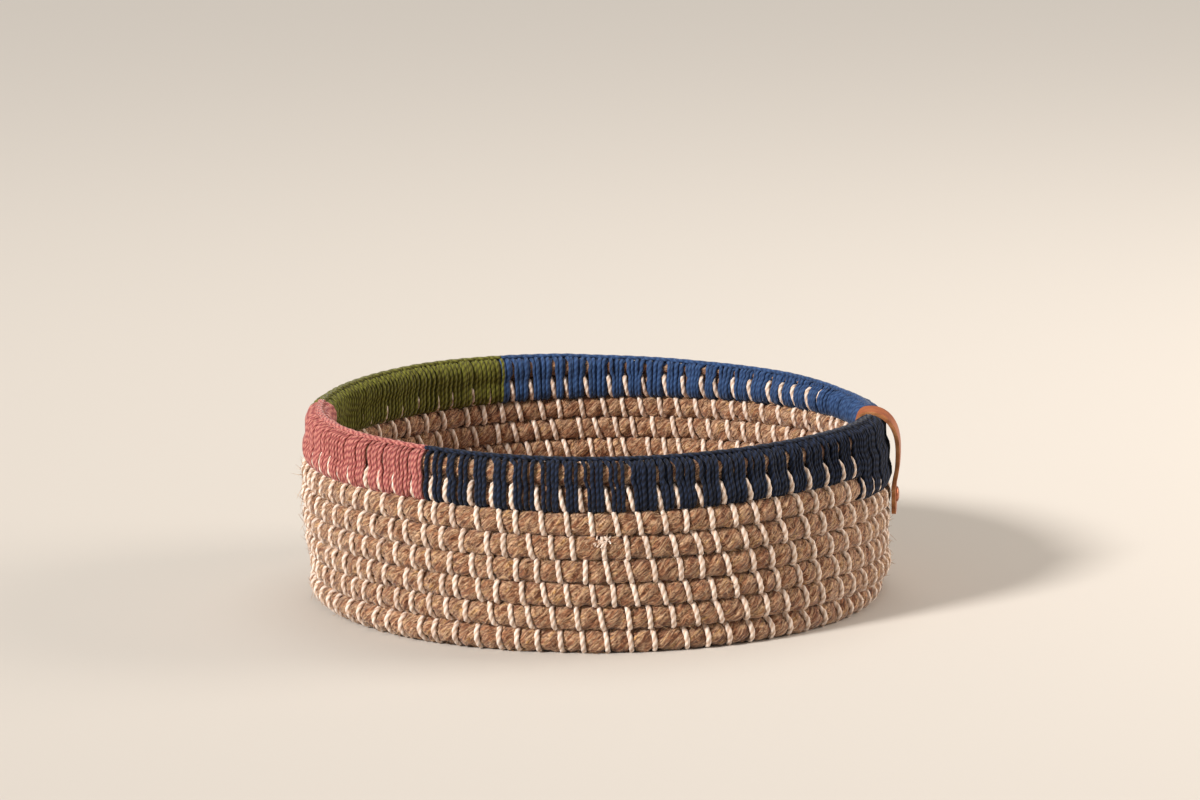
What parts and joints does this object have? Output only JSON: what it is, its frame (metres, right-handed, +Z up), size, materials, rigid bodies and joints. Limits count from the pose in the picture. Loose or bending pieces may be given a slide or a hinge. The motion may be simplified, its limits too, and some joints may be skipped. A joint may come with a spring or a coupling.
{
  "type": "storage basket",
  "caption": "Low round basket coiled from thick jute rope, with coloured yarn bands wound over the rim and a riveted leather tab where the rope ends.",
  "frame": {"origin": "middle of the flat underside, where the coil begins", "axes": "+Z up, out of the open top; the leather tab is near +X"},
  "size_m": [0.2073, 0.2036, 0.0672],
  "materials": {
    "jute": "matte",
    "cotton_cord": "matte",
    "yarn_blue": "matte",
    "yarn_green": "matte",
    "yarn_rose": "matte",
    "yarn_navy": "matte",
    "leather": "satin",
    "copper": "satin"
  },
  "bodies": {
    "root": {"base_coil": "jute", "wall_coil": "jute", "wrap_blue": "yarn_blue", "wrap_green": "yarn_green", "wrap_rose": "yarn_rose", "wrap_navy": "yarn_navy", "leather_tab": "leather", "rivet_stud": "copper", "rivet_cap": "copper"}
  },
  "joints": []
}
